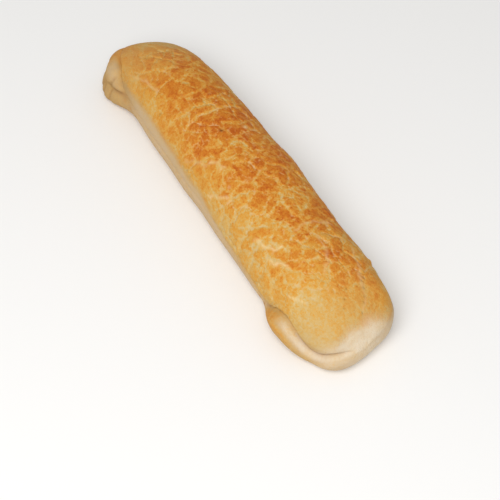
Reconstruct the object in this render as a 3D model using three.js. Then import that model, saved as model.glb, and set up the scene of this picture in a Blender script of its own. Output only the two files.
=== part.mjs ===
// Tiger bread roll: one long baked roll with a crackled crust, a pale fold of dough
// round its lower edge and a flat base. Millimetres, X along the roll, Z up.
// The origin is on the base, under the middle of the roll.

import * as THREE from 'three';
import { mergeVertices } from 'three/addons/utils/BufferGeometryUtils.js';

// Loaf: the main sizes and how square the ends and the section are
const LENGTH = 225;
const WIDTH = 51;
const HEIGHT = 41.5;
const WIDEST_AT = 15;
const BASE_CUT = 1.2;
const TAPER = { blunt: 1.08, slim: 0.92 };
const SECTION_POWER = { top: 2.15, bottom: 3.2 };
const BLUNT_END_POWER = { side: 4.45, top: 2.95, bottom: 6 };
const SLIM_END_POWER = { side: 4.9, top: 2.35, bottom: 5 };
const END_SKEW = { blunt: 0.06, slim: -0.425, from: 0.45 };
const CAP_FROM = 0.97;
const END_CROWDING = 0.16;

// Lumps: slow swelling of the whole surface
const LUMPS = [
  { period: 46, height: 0.7, seed: 46 },
  { period: 19, height: 0.4, seed: 4 },
];

// Swells: places where the loaf bulges or sinks, in mm along and degrees around from the crown
const SWELLS = [
  { along: 8, angle: 48, spread: 12, height: 1 },
  { along: 54, angle: 48, spread: 16, height: -1.1 },
  { along: 100, angle: 50, spread: 9, height: 1.5 },
];

// Fold: the crease that parts the crust from the dough below it
const FOLD_HEIGHT = 15;
const FOLD_WANDER = { period: 38, height: 1.5, seed: 5 };
const CREASE = { depth: 0.8, spread: 1.9, room: 0.7 };
const TUCK = { from: 5, to: 20, keep: 0.3 };

// Lip: the roll of dough that arches out under the crust at the blunt end, on one side of it
const LIP = { from: 62, to: 84, height: 18.1, reach: 6.5, rise: 3, ease: 6, crease: 1.6 };
const LIP_DIP = { at: 67, spread: 10, height: 5.3 };
const LIP_DROP = { at: 103.6, spread: 11, height: 9.3, thin: 0.28 };
const LIP_SIDE = { from: -15, to: 12 };
const CREASE_SIDE = { from: -17, to: -2 };

// Bevel: the slope under the crust's edge on the rest of the blunt end
const BEVEL = { from: 92, to: 108, reach: 2.25, rise: 11 };
const BEVEL_SIDE = { from: -16, to: 6 };
const BEVEL_TOP = { from: -16, to: 2, low: 19, high: 27 };

// Lobes: the two swellings, one over the other, that the fold ends in at the slim end
const LOBES = [
  { along: -97, height: 15.6, spreadAlong: 9.2, spreadUp: 5.8, reach: 5.8 },
  { along: -98.6, height: 6.4, spreadAlong: 12.8, spreadUp: 6, reach: 9.9 },
];
const LOBE_SIDE = { from: -13.5, to: 2 };
const LOBE_EDGE = 4;
const LOBE_PARTING = { depth: 0.9, spread: 0.8, full: 2 };
const LOBE_CREASE = { from: 66, to: 88, depth: 0.8 };
const LOBE_RISE = { from: 84, to: 96, height: 23 };
const TIP = { from: 92, to: 112, keep: 0.07, height: 14 };

// Crust: plates parted by cracks, laid out on the loaf as if it were unrolled
const AXIS_HEIGHT = 12;
const UNROLL_RADIUS = 30;
const CRUST_EDGE = { angle: 67, fade: 5, wander: 5, period: 30, seed: 6, thickness: 0.4 };
const CRUST_DROOP = { from: -40, to: 60, angle: 20 };
const CRUST_ENDS = { slimFrom: -84, slimTo: -108, bluntFrom: 80, bluntTo: 106 };
const PLATE_SIZE = { along: 10, around: 8 };
const PLATE_JITTER = 0.9;
const PLATE_SEED = 11;
const PLATE_SALT = { along: 0, around: 1, lift: 2 };
const PLATE_SEARCH = 2;
const PLATE_WARP = { period: 8, height: 2.6, seedAlong: 12, seedAround: 13 };
const CRACK = { depth: 0.55, spread: 1.1 };
const PLATE_LIFT = { height: 0.55, seed: 14 };
const CRACK_SNAP = 0.8;

// Facets along, across and up the block that is drawn out to the loaf
const FACETS = { along: 84, across: 14, up: 16 };

const CRUST_COLOUR = 0xcf9048;
const CRUST_ROUGHNESS = 0.72;

const HASH_RANGE = 2 ** 32;
const TINY = 1e-6;

// A scrambled number from 0 to 1 for whole numbers
function hash(i, j, k, seed) {
  let h = Math.imul(i, 0x1b873593) + Math.imul(j, 0x5bd1e995);
  h += Math.imul(k, 0x27d4eb2f) + Math.imul(seed, 0x165667b1);
  h = Math.imul(h ^ (h >>> 15), 0x2c1b3c6d);
  h = Math.imul(h ^ (h >>> 12), 0x297a2d39);
  return ((h ^ (h >>> 15)) >>> 0) / HASH_RANGE;
}

function ramp(value, from, to) {
  const t = Math.min(Math.max((value - from) / (to - from), 0), 1);
  return t * t * (3 - 2 * t);
}

function bell(value, centre, spread) {
  return Math.exp(-(((value - centre) / spread) ** 2));
}

function mix(a, b, t) {
  return a + (b - a) * t;
}

// A round step from 0 to 1 that starts steeply
function shoulder(value, from, to) {
  const t = Math.min(Math.max((value - from) / (to - from), 0), 1);
  return Math.sqrt(t * (2 - t));
}

// Smooth noise from -1 to 1
function noise(x, y, z, seed) {
  const [i, j, k] = [x, y, z].map(Math.floor);
  const [u, v, w] = [x - i, y - j, z - k].map((t) => t * t * (3 - 2 * t));
  const row = (dj, dk) => mix(hash(i, j + dj, k + dk, seed), hash(i + 1, j + dj, k + dk, seed), u);
  const slab = (dk) => mix(row(0, dk), row(1, dk), v);
  return 2 * mix(slab(0), slab(1), w) - 1;
}

// How much of its full reach the loaf keeps towards an end, from 1 in the middle to 0 at the tip
function endShare(along, power) {
  return Math.max(1 - Math.abs(along) ** power, 0) ** (1 / power);
}

// The section's own radius in a direction across the loaf
function ringSize(across, up) {
  const power = up >= 0 ? SECTION_POWER.top : SECTION_POWER.bottom;
  return (Math.abs(across) ** power + Math.abs(up) ** power) ** (1 / power);
}

// Half width, and rise above or below the widest line, at a share of the half length
function sectionSize(along, above) {
  const end = along > 0 ? BLUNT_END_POWER : SLIM_END_POWER;
  const taper = mix(TAPER.slim, TAPER.blunt, (along + 1) / 2);
  const rise = above
    ? (HEIGHT - WIDEST_AT) * endShare(along, end.top)
    : (WIDEST_AT + BASE_CUT) * endShare(along, end.bottom);
  return { halfWidth: (WIDTH / 2) * taper * endShare(along, end.side), rise };
}

// The straight loaf's point at a share of the half length and a direction on the unit section
function loafAt(along, across, up) {
  const { halfWidth, rise } = sectionSize(along, up >= 0);
  return new THREE.Vector3((LENGTH / 2) * along, halfWidth * across, WIDEST_AT + rise * up);
}

// Draws a point of the block's skin out to the straight loaf: its sides become rings, its ends caps
function loafPoint(u, v, w) {
  const across = Math.tan((Math.PI / 4) * v);
  const up = Math.tan((Math.PI / 4) * w);
  const ring = ringSize(across, up) || 1;
  let along = CAP_FROM * u * (1 + END_CROWDING * (1 - u * u));
  if (Math.abs(u) === 1) {
    const power = u > 0 ? BLUNT_END_POWER.side : SLIM_END_POWER.side;
    const radius = Math.max(Math.abs(across), Math.abs(up)) * endShare(CAP_FROM, power);
    along = u * endShare(radius, power);
  }
  return loafAt(along, across / ring, up / ring);
}

// Brings a point that has left the straight loaf back onto its section there
function backOntoLoaf(point) {
  const along = point.x / (LENGTH / 2);
  const lift = point.z - WIDEST_AT;
  const { halfWidth, rise } = sectionSize(along, lift >= 0);
  const across = point.y / halfWidth;
  const up = lift / rise;
  const ring = ringSize(across, up);
  return loafAt(along, across / ring, up / ring);
}

// The straight loaf's point at a height, on one side of it
function loafAtHeight(along, height, side) {
  const lift = height - WIDEST_AT;
  const power = lift >= 0 ? SECTION_POWER.top : SECTION_POWER.bottom;
  const { halfWidth, rise } = sectionSize(along, lift >= 0);
  const up = Math.min(Math.abs(lift) / rise, 1);
  const across = side * (1 - up ** power) ** (1 / power);
  return new THREE.Vector3((LENGTH / 2) * along, halfWidth * across, height);
}

// Turns the ends out of square
function skewed(point) {
  const out = Math.abs(point.x) / (LENGTH / 2);
  const share = Math.max((out - END_SKEW.from) / (1 - END_SKEW.from), 0) ** 2;
  const skew = point.x > 0 ? END_SKEW.blunt : END_SKEW.slim;
  return new THREE.Vector3(point.x - skew * point.y * share, point.y, point.z);
}

// Where a point lies on the unrolled loaf: mm along, and mm around from the crown
function unrolled(point) {
  const angle = Math.atan2(point.y, point.z - AXIS_HEIGHT);
  return { along: point.x, around: UNROLL_RADIUS * angle };
}

// The loaf's point at a place of the unrolled loaf, close to a point already on it
function rolledUp(place, point) {
  const radius = Math.hypot(point.y, point.z - AXIS_HEIGHT);
  const angle = place.around / UNROLL_RADIUS;
  const across = radius * Math.sin(angle);
  const height = AXIS_HEIGHT + radius * Math.cos(angle);
  return backOntoLoaf(new THREE.Vector3(place.along, across, height));
}

// How many degrees from the crown the crust ends; on one side it reaches further down towards the lip
function crustEdge(place) {
  const wander = noise(place.along / CRUST_EDGE.period, Math.sign(place.around), 0, CRUST_EDGE.seed);
  const droop = place.around < 0 ? ramp(place.along, CRUST_DROOP.from, CRUST_DROOP.to) : 0;
  return CRUST_EDGE.angle + CRUST_EDGE.wander * wander + CRUST_DROOP.angle * droop;
}

// How fully the crust covers a place, and how fully it is cracked there
function crustCover(place) {
  const edge = crustEdge(place);
  const angle = THREE.MathUtils.radToDeg(Math.abs(place.around) / UNROLL_RADIUS);
  const sides = 1 - ramp(angle, edge - CRUST_EDGE.fade, edge + CRUST_EDGE.fade);
  const slimEnd = 1 - ramp(-place.along, -CRUST_ENDS.slimFrom, -CRUST_ENDS.slimTo);
  const bluntEnd = 1 - ramp(place.along, CRUST_ENDS.bluntFrom, CRUST_ENDS.bluntTo);
  return { sides, cracked: sides * slimEnd * bluntEnd };
}

// The middle of the plate in one cell of the plate grid
function plateMiddle(i, j) {
  const shift = (salt) => 0.5 + PLATE_JITTER * (hash(i, j, salt, PLATE_SEED) - 0.5);
  return {
    i,
    j,
    along: (i + shift(PLATE_SALT.along)) * PLATE_SIZE.along,
    around: (j + shift(PLATE_SALT.around)) * PLATE_SIZE.around,
  };
}

// The plate that holds a place, how far off its nearest crack is, and which way that lies
function plateAt(place) {
  const warp = (seed) =>
    PLATE_WARP.height * noise(place.along / PLATE_WARP.period, place.around / PLATE_WARP.period, 0, seed);
  const along = place.along + warp(PLATE_WARP.seedAlong);
  const around = place.around + warp(PLATE_WARP.seedAround);
  const column = Math.floor(along / PLATE_SIZE.along);
  const line = Math.floor(around / PLATE_SIZE.around);
  const near = [];
  for (let i = column - PLATE_SEARCH; i <= column + PLATE_SEARCH; i += 1) {
    for (let j = line - PLATE_SEARCH; j <= line + PLATE_SEARCH; j += 1) {
      const plate = plateMiddle(i, j);
      near.push({ ...plate, gap: Math.hypot(plate.along - along, plate.around - around) });
    }
  }
  near.sort((a, b) => a.gap - b.gap);
  const [own, next] = near;
  const apart = Math.hypot(next.along - own.along, next.around - own.around);
  return {
    own,
    crackGap: (next.gap ** 2 - own.gap ** 2) / (2 * apart),
    toCrack: { along: (next.along - own.along) / apart, around: (next.around - own.around) / apart },
  };
}

// Slides a point that lies close to a crack along the surface and onto it
function settledOnCrack(point) {
  const place = unrolled(point);
  const onCrease = Math.abs(foldAt(point).below) < CREASE.spread;
  if (onCrease || crustCover(place).cracked === 0) {
    return point;
  }
  const { crackGap, toCrack } = plateAt(place);
  if (crackGap > CRACK_SNAP) {
    return point;
  }
  place.along += crackGap * toCrack.along;
  place.around += crackGap * toCrack.around;
  return rolledUp(place, point);
}

function lumpRelief(point) {
  let relief = 0;
  for (const { period, height, seed } of LUMPS) {
    relief += height * noise(point.x / period, point.y / period, point.z / period, seed);
  }
  const place = unrolled(point);
  for (const { along, angle, spread, height } of SWELLS) {
    const around = UNROLL_RADIUS * THREE.MathUtils.degToRad(angle);
    relief += height * bell(Math.hypot(place.along - along, place.around - around), 0, spread);
  }
  return relief;
}

// The lip's and the lobes' shares at a point, and how far below the crease it lies
function foldAt({ x, y, z }) {
  const blunt = ramp(x, LIP.from, LIP.to);
  const slim = ramp(-x, LOBE_CREASE.from, LOBE_CREASE.to);
  const tip = mix(1, TIP.keep, ramp(-x, TIP.from, TIP.to));
  const lobeSide = 1 - ramp(y, LOBE_SIDE.from, LOBE_SIDE.to);
  const creaseSide = 1 - ramp(y, CREASE_SIDE.from, CREASE_SIDE.to);
  const wander = FOLD_WANDER.height * noise(x / FOLD_WANDER.period, y < 0 ? 0 : 1, 0, FOLD_WANDER.seed);
  const dip = LIP_DIP.height * creaseSide * bell(x, LIP_DIP.at, LIP_DIP.spread);
  const drop = bell(x, LIP_DROP.at, LIP_DROP.spread);
  const bluntHeight = mix(FOLD_HEIGHT + wander, LIP.height, blunt) - dip - LIP_DROP.height * drop;
  const slimHeight = mix(TIP.height, LOBE_RISE.height, lobeSide);
  const height = mix(bluntHeight, slimHeight, ramp(-x, LOBE_RISE.from, LOBE_RISE.to));
  return {
    blunt,
    creaseSide,
    tip,
    height,
    below: height - z,
    lip: blunt * (1 - ramp(y, LIP_SIDE.from, LIP_SIDE.to)) * (1 - LIP_DROP.thin * drop),
    lobeSide,
    lobes: slim * tip * lobeSide,
  };
}

// Slides a point up or down the loaf so that the block's middle row comes to lie on the crease
function creased(point) {
  const along = point.x / (LENGTH / 2);
  const over = sectionSize(along, true).rise;
  const under = sectionSize(along, false).rise;
  if (Math.min(over, under) < TINY) {
    return point;
  }
  const lowest = WIDEST_AT - CREASE.room * under;
  const highest = WIDEST_AT + CREASE.room * over;
  const crease = Math.min(Math.max(foldAt(point).height, lowest), highest);
  const above = point.z >= WIDEST_AT;
  const limit = above ? WIDEST_AT + over : WIDEST_AT - under;
  const height = mix(crease, limit, (point.z - WIDEST_AT) / (limit - WIDEST_AT));
  return loafAtHeight(along, height, Math.sign(point.y));
}

// How far the slope under the crust's edge stands out on the blunt end
function bevelRelief({ x, y, z }) {
  const share = ramp(x, BEVEL.from, BEVEL.to) * ramp(y, BEVEL_SIDE.from, BEVEL_SIDE.to);
  const top = mix(BEVEL_TOP.low, BEVEL_TOP.high, ramp(y, BEVEL_TOP.from, BEVEL_TOP.to));
  return BEVEL.reach * share * ramp(top - z, 0, BEVEL.rise);
}

// How far the larger of the two lobes stands out, less the line that parts them
function lobeRelief({ x, z }) {
  const [upper, lower] = LOBES.map(
    ({ along, height, spreadAlong, spreadUp, reach }) =>
      reach * bell(x, along, spreadAlong) * bell(z, height, spreadUp)
  );
  const larger = Math.max(upper, lower);
  const parting = LOBE_PARTING.depth * bell(upper - lower, 0, LOBE_PARTING.spread);
  return larger - parting * ramp(larger, 0, LOBE_PARTING.full);
}

// The crease round the loaf, with the lip, the bevel and the lobes that swell out below it
function foldRelief(point) {
  const { blunt, creaseSide, tip, below, lip, lobeSide, lobes } = foldAt(point);
  const tuck = mix(1, TUCK.keep, ramp(below, TUCK.from, TUCK.to));
  const edge = mix(ramp(below, -LIP.ease, LIP.ease), shoulder(below, 0, LIP.rise), creaseSide);
  const bluntEnd = tuck * (LIP.reach * lip * edge + bevelRelief(point));
  const slimEnd = lobeSide * lobeRelief(point) * shoulder(below, 0, LOBE_EDGE);
  const depth = tip * mix(CREASE.depth, LIP.crease * creaseSide, blunt) + LOBE_CREASE.depth * lobes;
  return bluntEnd + slimEnd - depth * bell(below, 0, CREASE.spread);
}

// The crust's own thickness, each plate a little higher or lower, and the cracks between them
function crustRelief(point) {
  const place = unrolled(point);
  const { sides, cracked } = crustCover(place);
  const { own, crackGap } = plateAt(place);
  const lift = PLATE_LIFT.height * (hash(own.i, own.j, PLATE_SALT.lift, PLATE_LIFT.seed) - 0.5);
  const valley = bell(crackGap, 0, CRACK.spread);
  return CRUST_EDGE.thickness * sides + cracked * (lift * (1 - valley) - CRACK.depth * valley);
}

function makeRoll() {
  const block = new THREE.BoxGeometry(2, 2, 2, FACETS.along, FACETS.across, FACETS.up);
  block.deleteAttribute('normal');
  block.deleteAttribute('uv');
  const geometry = mergeVertices(block);
  const positions = geometry.getAttribute('position');
  const straight = [];
  for (let i = 0; i < positions.count; i += 1) {
    const drawn = loafPoint(positions.getX(i), positions.getY(i), positions.getZ(i));
    const point = settledOnCrack(creased(drawn));
    straight.push(point);
    positions.setXYZ(i, ...skewed(point));
  }
  geometry.computeVertexNormals();
  const normals = geometry.getAttribute('normal').clone();
  for (let i = 0; i < positions.count; i += 1) {
    const point = straight[i];
    const relief = lumpRelief(point) + foldRelief(point) + crustRelief(point);
    const normal = new THREE.Vector3().fromBufferAttribute(normals, i);
    const place = skewed(point).addScaledVector(normal, relief);
    positions.setXYZ(i, place.x, place.y, Math.max(place.z, 0));
  }
  geometry.computeBoundingBox();
  const middle = geometry.boundingBox.getCenter(new THREE.Vector3());
  geometry.translate(-middle.x, -middle.y, 0);
  geometry.computeVertexNormals();
  return geometry;
}

const crust = new THREE.MeshStandardMaterial({
  color: CRUST_COLOUR,
  roughness: CRUST_ROUGHNESS,
  metalness: 0,
});
const roll = new THREE.Mesh(makeRoll(), crust);
roll.name = 'roll';

const part = new THREE.Group();
part.add(roll);

export default part;
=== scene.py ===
"""A tiger bread roll, with crackled crust, pale dough and a tray-marked base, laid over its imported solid.

Run as a script in Blender. Lengths are in millimetres and angles in degrees until the mesh is made.
"""

import math
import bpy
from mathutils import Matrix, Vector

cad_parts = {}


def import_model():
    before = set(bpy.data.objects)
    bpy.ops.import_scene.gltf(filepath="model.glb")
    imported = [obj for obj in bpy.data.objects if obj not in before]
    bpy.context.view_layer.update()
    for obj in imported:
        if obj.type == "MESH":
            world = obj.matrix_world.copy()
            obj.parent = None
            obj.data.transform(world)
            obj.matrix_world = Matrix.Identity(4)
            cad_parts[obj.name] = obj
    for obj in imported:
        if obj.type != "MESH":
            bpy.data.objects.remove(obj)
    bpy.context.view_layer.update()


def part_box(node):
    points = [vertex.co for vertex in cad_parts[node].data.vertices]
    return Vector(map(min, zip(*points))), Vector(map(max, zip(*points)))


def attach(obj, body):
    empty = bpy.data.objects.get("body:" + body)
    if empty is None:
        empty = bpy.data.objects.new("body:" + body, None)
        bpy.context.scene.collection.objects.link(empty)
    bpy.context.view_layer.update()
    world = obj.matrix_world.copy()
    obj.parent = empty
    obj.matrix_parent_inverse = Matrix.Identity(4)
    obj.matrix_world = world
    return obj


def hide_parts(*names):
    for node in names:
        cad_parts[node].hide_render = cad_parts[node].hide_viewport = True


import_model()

from types import SimpleNamespace as Values

import bmesh
import bpy
import numpy as np
from bpy.props import FloatProperty, FloatVectorProperty, PointerProperty
from bpy.types import Operator, Panel, PropertyGroup
from mathutils import Vector

bl_info = {
    "name": "Tiger Bread Roll",
    "version": (1, 0, 0),
    "blender": (4, 5, 0),
    "location": "View3D > Sidebar > Bread",
    "description": "Models a long bread roll with a crackled crust over its solid",
    "category": "Object",
}

MM = 0.001
TINY = 1e-9
NODE = "roll"
NODE_LOW, NODE_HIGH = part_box(NODE)


def ramp(value, start, end):
    """A smooth step from 0 at a start to 1 at an end."""
    t = np.clip((value - start) / (end - start), 0, 1)
    return t * t * (3 - 2 * t)


def shoulder(value, start, end):
    """A round step from 0 to 1 that starts steeply."""
    t = np.clip((value - start) / (end - start), 0, 1)
    return np.sqrt(t * (2 - t))


def bell(value, centre, spread):
    """A round peak that is 1 at its centre."""
    return np.exp(-(((value - centre) / spread) ** 2))


def mix(a, b, t):
    return a + (b - a) * t


# Windows: how fully a number lies in a range, from 0 to 1
def near(centre, spread):
    """Full at a centre, fading to either side."""
    return lambda value: bell(value, centre, spread)


def past(start, end):
    """Growing from none at a start to full at an end."""
    return lambda value: ramp(value, start, end)


def before(start, end):
    """Falling from full at a start to none at an end."""
    return lambda value: 1 - ramp(value, start, end)


def between(start, full, fading, end):
    """Growing, staying full and falling again."""
    return lambda value: ramp(value, start, full) * (1 - ramp(value, fading, end))


def rough(period, height, seed, layers=1):
    """A kind of noise, with the size of its largest waves and how many ever finer layers it has."""
    return Values(period=period, height=height, seed=seed, layers=layers)


def step(start, end, low, high):
    """A smooth step of the material, from low to high as a number goes from start to end."""
    return Values(start=start, end=end, low=low, high=high)


# Scrambling of whole numbers
WORD = np.uint64(0xFFFFFFFF)
HASH_FACTORS = (0x1B873593, 0x5BD1E995, 0x27D4EB2F, 0x165667B1)
HASH_ROUNDS = ((15, 0x2C1B3C6D), (12, 0x297A2D39))
HASH_LAST_SHIFT = 15

# Loaf: its main sizes, how square its section and ends are, and how its ends stand out of square
LOAF = Values(length=225, width=51, height=41.5)
WIDEST_AT = 15
BASE_CUT = 1.2
TAPER = Values(blunt=1.08, slim=0.92)
SECTION_POWER = Values(top=2.15, bottom=3.2)
BLUNT_END_POWER = Values(side=4.45, top=2.95, bottom=6.0)
SLIM_END_POWER = Values(side=4.9, top=2.35, bottom=5.0)
END_SKEW = Values(blunt=0.06, slim=-0.425, start=0.45)

# Block that is drawn out to the loaf: its facets along, across and up, and how they crowd together
FACETS = (330, 80, 48)
CAP_FROM = 0.97
CAP_EDGE = 1 - 1e-5
END_CROWDING = 0.16
ROW_CROWDING = 1.3

# Lumps: slow swelling of the whole surface
LUMPS = (rough(46, 0.7, 46), rough(19, 0.4, 4))

# Swells: places where the loaf bulges or sinks, in mm along and degrees around
SWELLS = (
    Values(along=8, angle=48, spread=12, height=1),
    Values(along=54, angle=48, spread=16, height=-1.1),
    Values(along=100, angle=50, spread=9, height=1.5),
)

# Fold: the crease that parts the crust from the dough below it
FOLD_HEIGHT = 15
FOLD_WANDER = rough(38, 1.5, 5)
CREASE = Values(depth=0.8, spread_over=1.1, spread_under=1.9, room=0.7)
CREASE_LINE = Values(depth=0.7, below=near(0, 0.5))
TUCK = Values(below=past(5, 20), keep=0.3)

# Lip: the roll of dough that arches out under the crust at the blunt end, on one side of it
LIP = Values(along=past(62, 84), height=18.1, reach=6.5, rise=3, ease=6, crease=1.6)
LIP_DIP = Values(along=near(67, 10), height=5.3)
LIP_DROP = Values(along=near(103.6, 11), height=9.3, thin=0.28)
LIP_SIDE = before(-15, 12)
CREASE_SIDE = before(-17, -2)

# Bevel: the slope under the crust's edge on the rest of the blunt end
BEVEL = Values(along=past(92, 108), across=past(-16, 6), reach=2.25, rise=11)
BEVEL_TOP = Values(across=past(-16, 2), low=19, high=27)

# Lobes: the two swellings, one over the other, that the fold ends in at the slim end
LOBES = (
    Values(along=near(-97, 9.2), up=near(15.6, 5.8), reach=5.8),
    Values(along=near(-98.6, 12.8), up=near(6.4, 6), reach=9.9),
)
LOBE_SIDE = before(-13.5, 2)
LOBE_EDGE = 4
LOBE_PARTING = Values(depth=0.9, line=near(0, 0.8), out=past(0, 2))
LOBE_CREASE = Values(along=past(-66, -88), depth=0.8)
LOBE_RISE = Values(along=past(-84, -96), height=23)
TIP = Values(along=past(-92, -112), keep=0.07, height=14)

# Wrinkles of the dough, and the longer ones of the lobes
WRINKLES = rough(6, 0.45, 57, 3)
WRINKLE_SHARE = Values(rest=0.2, lip=0.5)
LOBE_WRINKLES = Values(
    pattern=rough(9, 1, 58, 2),
    line=near(0, 0.09),
    out=past(1, 4),
    below=past(1, 3),
    depth=0.7,
    # dark: painted shade in the lobes' wrinkles
    dark=0.6,
)

# Crust: plates parted by cracks and smaller flakes in them, laid out on the loaf as if it were unrolled
AXIS_HEIGHT = 12
UNROLL_RADIUS = 30
CRUST_EDGE = Values(angle=67, fade=5, wander=5, period=30, seed=6, thickness=0.4)
CRUST_DROOP = Values(along=past(-40, 60), angle=20)
CRUST_ENDS = Values(slim=before(-84, -108), blunt=before(80, 106))
PLATES = Values(along=10, around=8, jitter=0.9, seed=11)
PLATE_WARP = Values(period=8, height=2.6, seed_along=12, seed_around=13)
PLATE_LIFT = Values(height=0.55, seed=14)
FLAKES = Values(along=5, around=4.2, jitter=0.9, seed=31)
FLAKE_WARP = Values(period=5, height=1.8, seed_along=32, seed_around=33)
CELL_SALT = Values(along=0, around=1, lift=2, tone=3)
CELL_REACH = range(-2, 3)
RAGGED = Values(period=2.6, height=1.1, seed_along=41, seed_around=42)
CRACK_SNAP = 0.35
CRACK_DEPTH = 0.55
CRACK_SPREAD = 0.6
CRACK_OPENNESS = Values(pattern=rough(13, 1, 61), open=past(-0.5, 0.6), least=0.15)
FLAKE_DEPTH = 0.12
FLAKE_SPREAD = 0.45
CRUST_GRAIN = rough(4.5, 0.16, 51, 3)

# Cracks, seams and flecks that show pale, each place in mm along and degrees around
CRACKS = Values(
    share=0.85,
    spread=0.65,
    lines=(
        ((8, -58), (12, -52), (16, -46), (20, -40)),
        ((48, -44), (55, -40), (60, -34), (61, -28)),
        ((61, -48), (66, -42), (72, -35)),
        ((81, -55), (85, -51), (89, -47)),
    ),
)
SEAMS = Values(
    share=0.45,
    spread=0.8,
    lines=(
        ((-84, -50), (-79, -44), (-74, -38), (-63, -33)),
        ((76.5, 37), (86, 31), (94, 25), (103, 20), (108, 10)),
        ((65, 9), (77.5, 4), (85, -10)),
        ((57, -6), (56, 10), (57.5, 20), (59.5, 33)),
        ((-17, -54), (-10, -45), (-4.5, -40), (-2, -32), (5, -24)),
    ),
)
FLECKS = Values(share=1, spread=1, places=((-12.6, 17.8), (-2.5, -33), (4, -30)))

# Spots of the crust that are browner or paler, burnt specks, pits and curled flakes, placed in the same way
BROWNED = Values(
    bake=0.12,
    spread=6,
    places=(
        (-23, -10), (-8, 13), (5, 18), (15, 13), (20, 0), (31, -17), (75, 15),
        (90, 8), (-20, 23), (-42, 25), (-10, 24), (0, 27), (38, -27), (48, -27),
        (8, -36), (19, -42), (28, -38), (-50, -27), (102, 28),
    ),
)
DARKEST = Values(
    bake=0.11,
    spread=7,
    places=((-12, 17), (-2, 16), (8, 17), (64, 16), (77, 18), (-21, -12)),
)
PALER = Values(
    bake=-0.09,
    spread=6,
    places=((-15, -7), (-5, -5), (40, 3), (48, 11), (-57, 2), (-40, 18), (68, 2)),
)
SPECK = Values(share=1, spread=0.95, places=((-15.7, -7.2),))
FAINT_SPECK = Values(share=0.5, spread=0.6, places=((-50.6, -46.4),))
PITS = Values(
    share=0.4,
    spread=0.7,
    depth=0.3,
    width=0.9,
    places=(
        (92.6, 29.6), (95.4, 25.3), (98.6, 23.2), (101.2, 20.3), (104.2, 15.4), (107.5, 10),
        (96, 2), (99, -7.5), (102.7, -13.7),
    ),
)
CURLS = Values(height=0.8, spread=1.6, places=((23, 40), (35, 41), (51, 41), (57, 41), (80, 50), (81, 61)))

# Tray: the rows of spots that its holes leave round the base
TRAY = Values(pitch=5.6, spot=1.1, height=0.25, low=before(7, 15), ends=before(78, 94))
TRAY_WANDER = rough(20, 2, 95)

# Bake: how brown the crust is, and what is added to that in patches
CROWN = near(10, 42)
MIDDLE = between(-115, -75, 74, 104)
BAKE_ENDS = Values(slim=0.27, blunt=0.1, along=past(-70, 95))
# lip: the lip's outer side browned, partly toast and partly painted shade
BAKE = Values(crown=0.28, margin=-0.09, plate=0.3, lip=0.32, lobe=0.14)
BAKE_PATTERN = rough(15, 0.3, 72, 2)
BAKE_DRIFT = rough(20, 0.14, 73, 2)
BAKE_PATCHES = (
    (0.18, dict(along=past(55, 88), angle=near(22, 20))),
    (0.12, dict(along=near(15, 36), angle=near(-22, 24))),
    (-0.16, dict(along=past(-50, -90), angle=past(-40, -10))),
    (0.1, dict(along=between(-95, -55, 60, 90), angle=near(42, 16))),
    (0.08, dict(along=near(0, 45), angle=near(-46, 14))),
    (-0.03, dict(along=past(-30, -60))),
    (-0.035, dict(along=near(40, 30), angle=near(25, 25))),
    (0.14, dict(along=past(88, 104), y=past(8, 16))),
)

# Crackle: how lively its pattern is, where it is calmer, and where its cracks are fainter
LIVELY = Values(sides=0.7, ends=0.55, margin_calm=0.4)
CALM_PATCHES = (
    (0.25, dict(along=past(-35, -65), angle=past(5, -20))),
    (0.25, dict(along=past(60, 85), angle=past(5, -15))),
)
FAINT_SIDE = Values(least=0.3, angle=past(-70, -35))
FAINT_END = Values(least=0.45, along=past(-85, -50))
FLAKES_SHOWN = Values(pattern=rough(17, 1, 81), share=past(-0.3, 0.5))

# Lip and lobes: the lip's outer side, browned partly by toasting and partly as painted shade, its pale
# ridge with a painted highlight, and the upper lobe's golden tip and pale middle
LIP_TOAST_AND_SHADE = (
    dict(x=between(58, 78, 84, 106), below=past(0.9, 2.6)),
    dict(x=between(58, 78, 79, 88), below=past(0, 1)),
)
LIP_TOAST_AND_SHADE_LIMITS = dict(below=before(3, 12), lip=past(0.1, 0.5), z=past(0, 4))
# The lip's pale ridge: cream dough with a painted highlight where it faces the light
LIP_RIDGE_CREAM_AND_HIGHLIGHT = dict(x=past(79, 90), lip=past(0.2, 0.8), below=near(0.6, 0.9))
LOBE_GOLD = dict(x=past(-98, -105), below=before(3, 7))
LOBE_PALE = dict(x=near(-97, 6), below=between(0.5, 2, 4, 7))

# Bare dough: under the fold, on the flanks, on the blunt end's face, and showing where the crust is thin;
# with painted shade on the end face and in the grooves, and a painted highlight on the lip's ridge
EDGE_WANDER = rough(14, 4, 91, 2)
MARGIN = Values(start=35, end=6)
FLANK = Values(start=11, end=6)
UNDER_FOLD = Values(below=past(-0.4, 1.2), lip=past(0.1, 0.5), corner=past(0.1, 0.4))
# Less bare dough where the lip is toasted and painted in shade, and where the upper lobe is golden
DOUGH_HIDDEN = Values(toast=0.75, gold=0.6)
END_FACE = dict(x=past(92, 108), y=past(-23, -15))
END_EDGE = Values(share=past(-4.5, 3.5), wander=rough(9, 2, 92, 3))
END_EDGE_DROPS = ((2, dict(y=past(-8, 0))), (6, dict(y=past(4, 18))))
END_HALO = Values(share=0.55, edge=past(-7, 0), wander=0.5)
END_PALE = Values(base=0.9, pattern=rough(7, 0.25, 94, 2))
# Painted shade on the end face's cream: on the lip below the crease and towards the side that turns from
# the light
END_PAINTED_SHADE = ((0.4, dict(lip=past(0.3, 0.8), below=past(0, 2))), (0.3, dict(y=past(2, 16))))
THIN_CRUST = ((0.3, dict(x=past(84, 110))), (0.35, dict(x=past(-60, -100))))
THIN_PATTERN = rough(8, 0.5, 93, 2)
THICK_CORNER = ((0.7, dict(x=past(84, 100), y=past(6, 16))),)
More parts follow.
